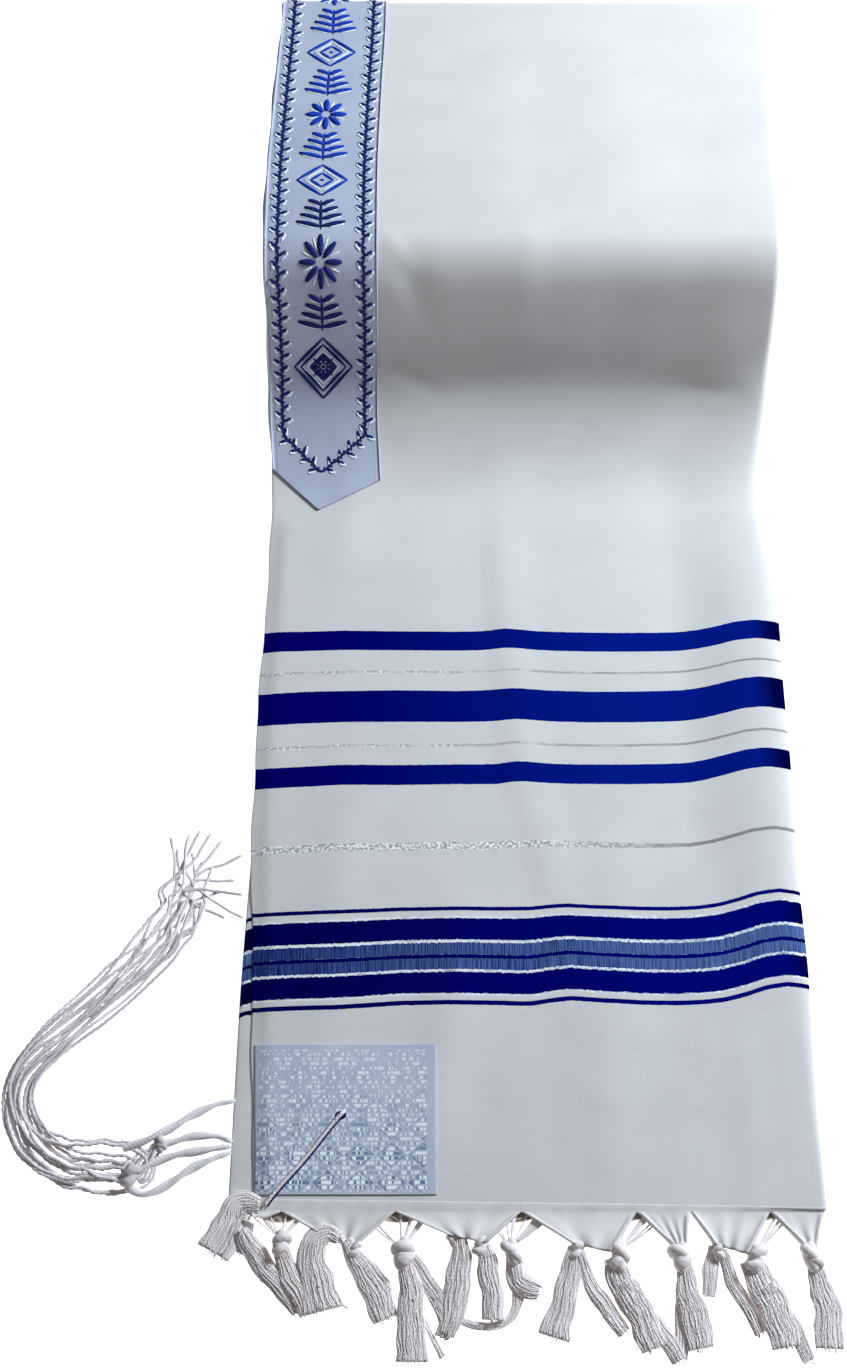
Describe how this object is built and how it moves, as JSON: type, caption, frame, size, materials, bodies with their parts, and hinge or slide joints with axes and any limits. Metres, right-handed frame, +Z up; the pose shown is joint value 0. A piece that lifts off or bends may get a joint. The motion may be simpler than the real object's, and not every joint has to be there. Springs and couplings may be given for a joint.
{
  "type": "tallit prayer shawl",
  "caption": "Woven prayer shawl folded in half lengthwise and laid over its own folded pile, with knotted fringe, neckband, corner patches and tzitzit.",
  "frame": {"origin": "on the surface that the shawl lies on, under the cloth's flat front part, 390 mm behind the near hem, near the middle of the whole footprint", "axes": "+Z up from the surface, +Y from the near hem towards the pile and the far hem, +X towards the long folded edge"},
  "size_m": [0.434, 0.946, 0.104],
  "materials": {
    "woven_cloth": "matt white woven cloth with blue and silver stripes",
    "neckband_satin": "pale blue woven satin",
    "patch_satin": "pale blue satin with silver weave",
    "yarn": "matt white yarn"
  },
  "bodies": {
    "root": {"shawl_cloth": "woven_cloth", "folded_layers": "woven_cloth", "far_end_cloth": "woven_cloth", "atara": "neckband_satin", "corner_patch_near": "patch_satin", "corner_patch_far": "patch_satin", "fringe_near_upper": "yarn", "fringe_near_under": "yarn", "fringe_far_upper": "yarn", "fringe_far_under": "yarn", "tzitzit_near_upper": "yarn", "tzitzit_near_under": "yarn", "tzitzit_far_upper": "yarn", "tzitzit_far_under": "yarn", "corner_cord_near": "yarn", "corner_cord_far": "yarn"}
  },
  "joints": []
}
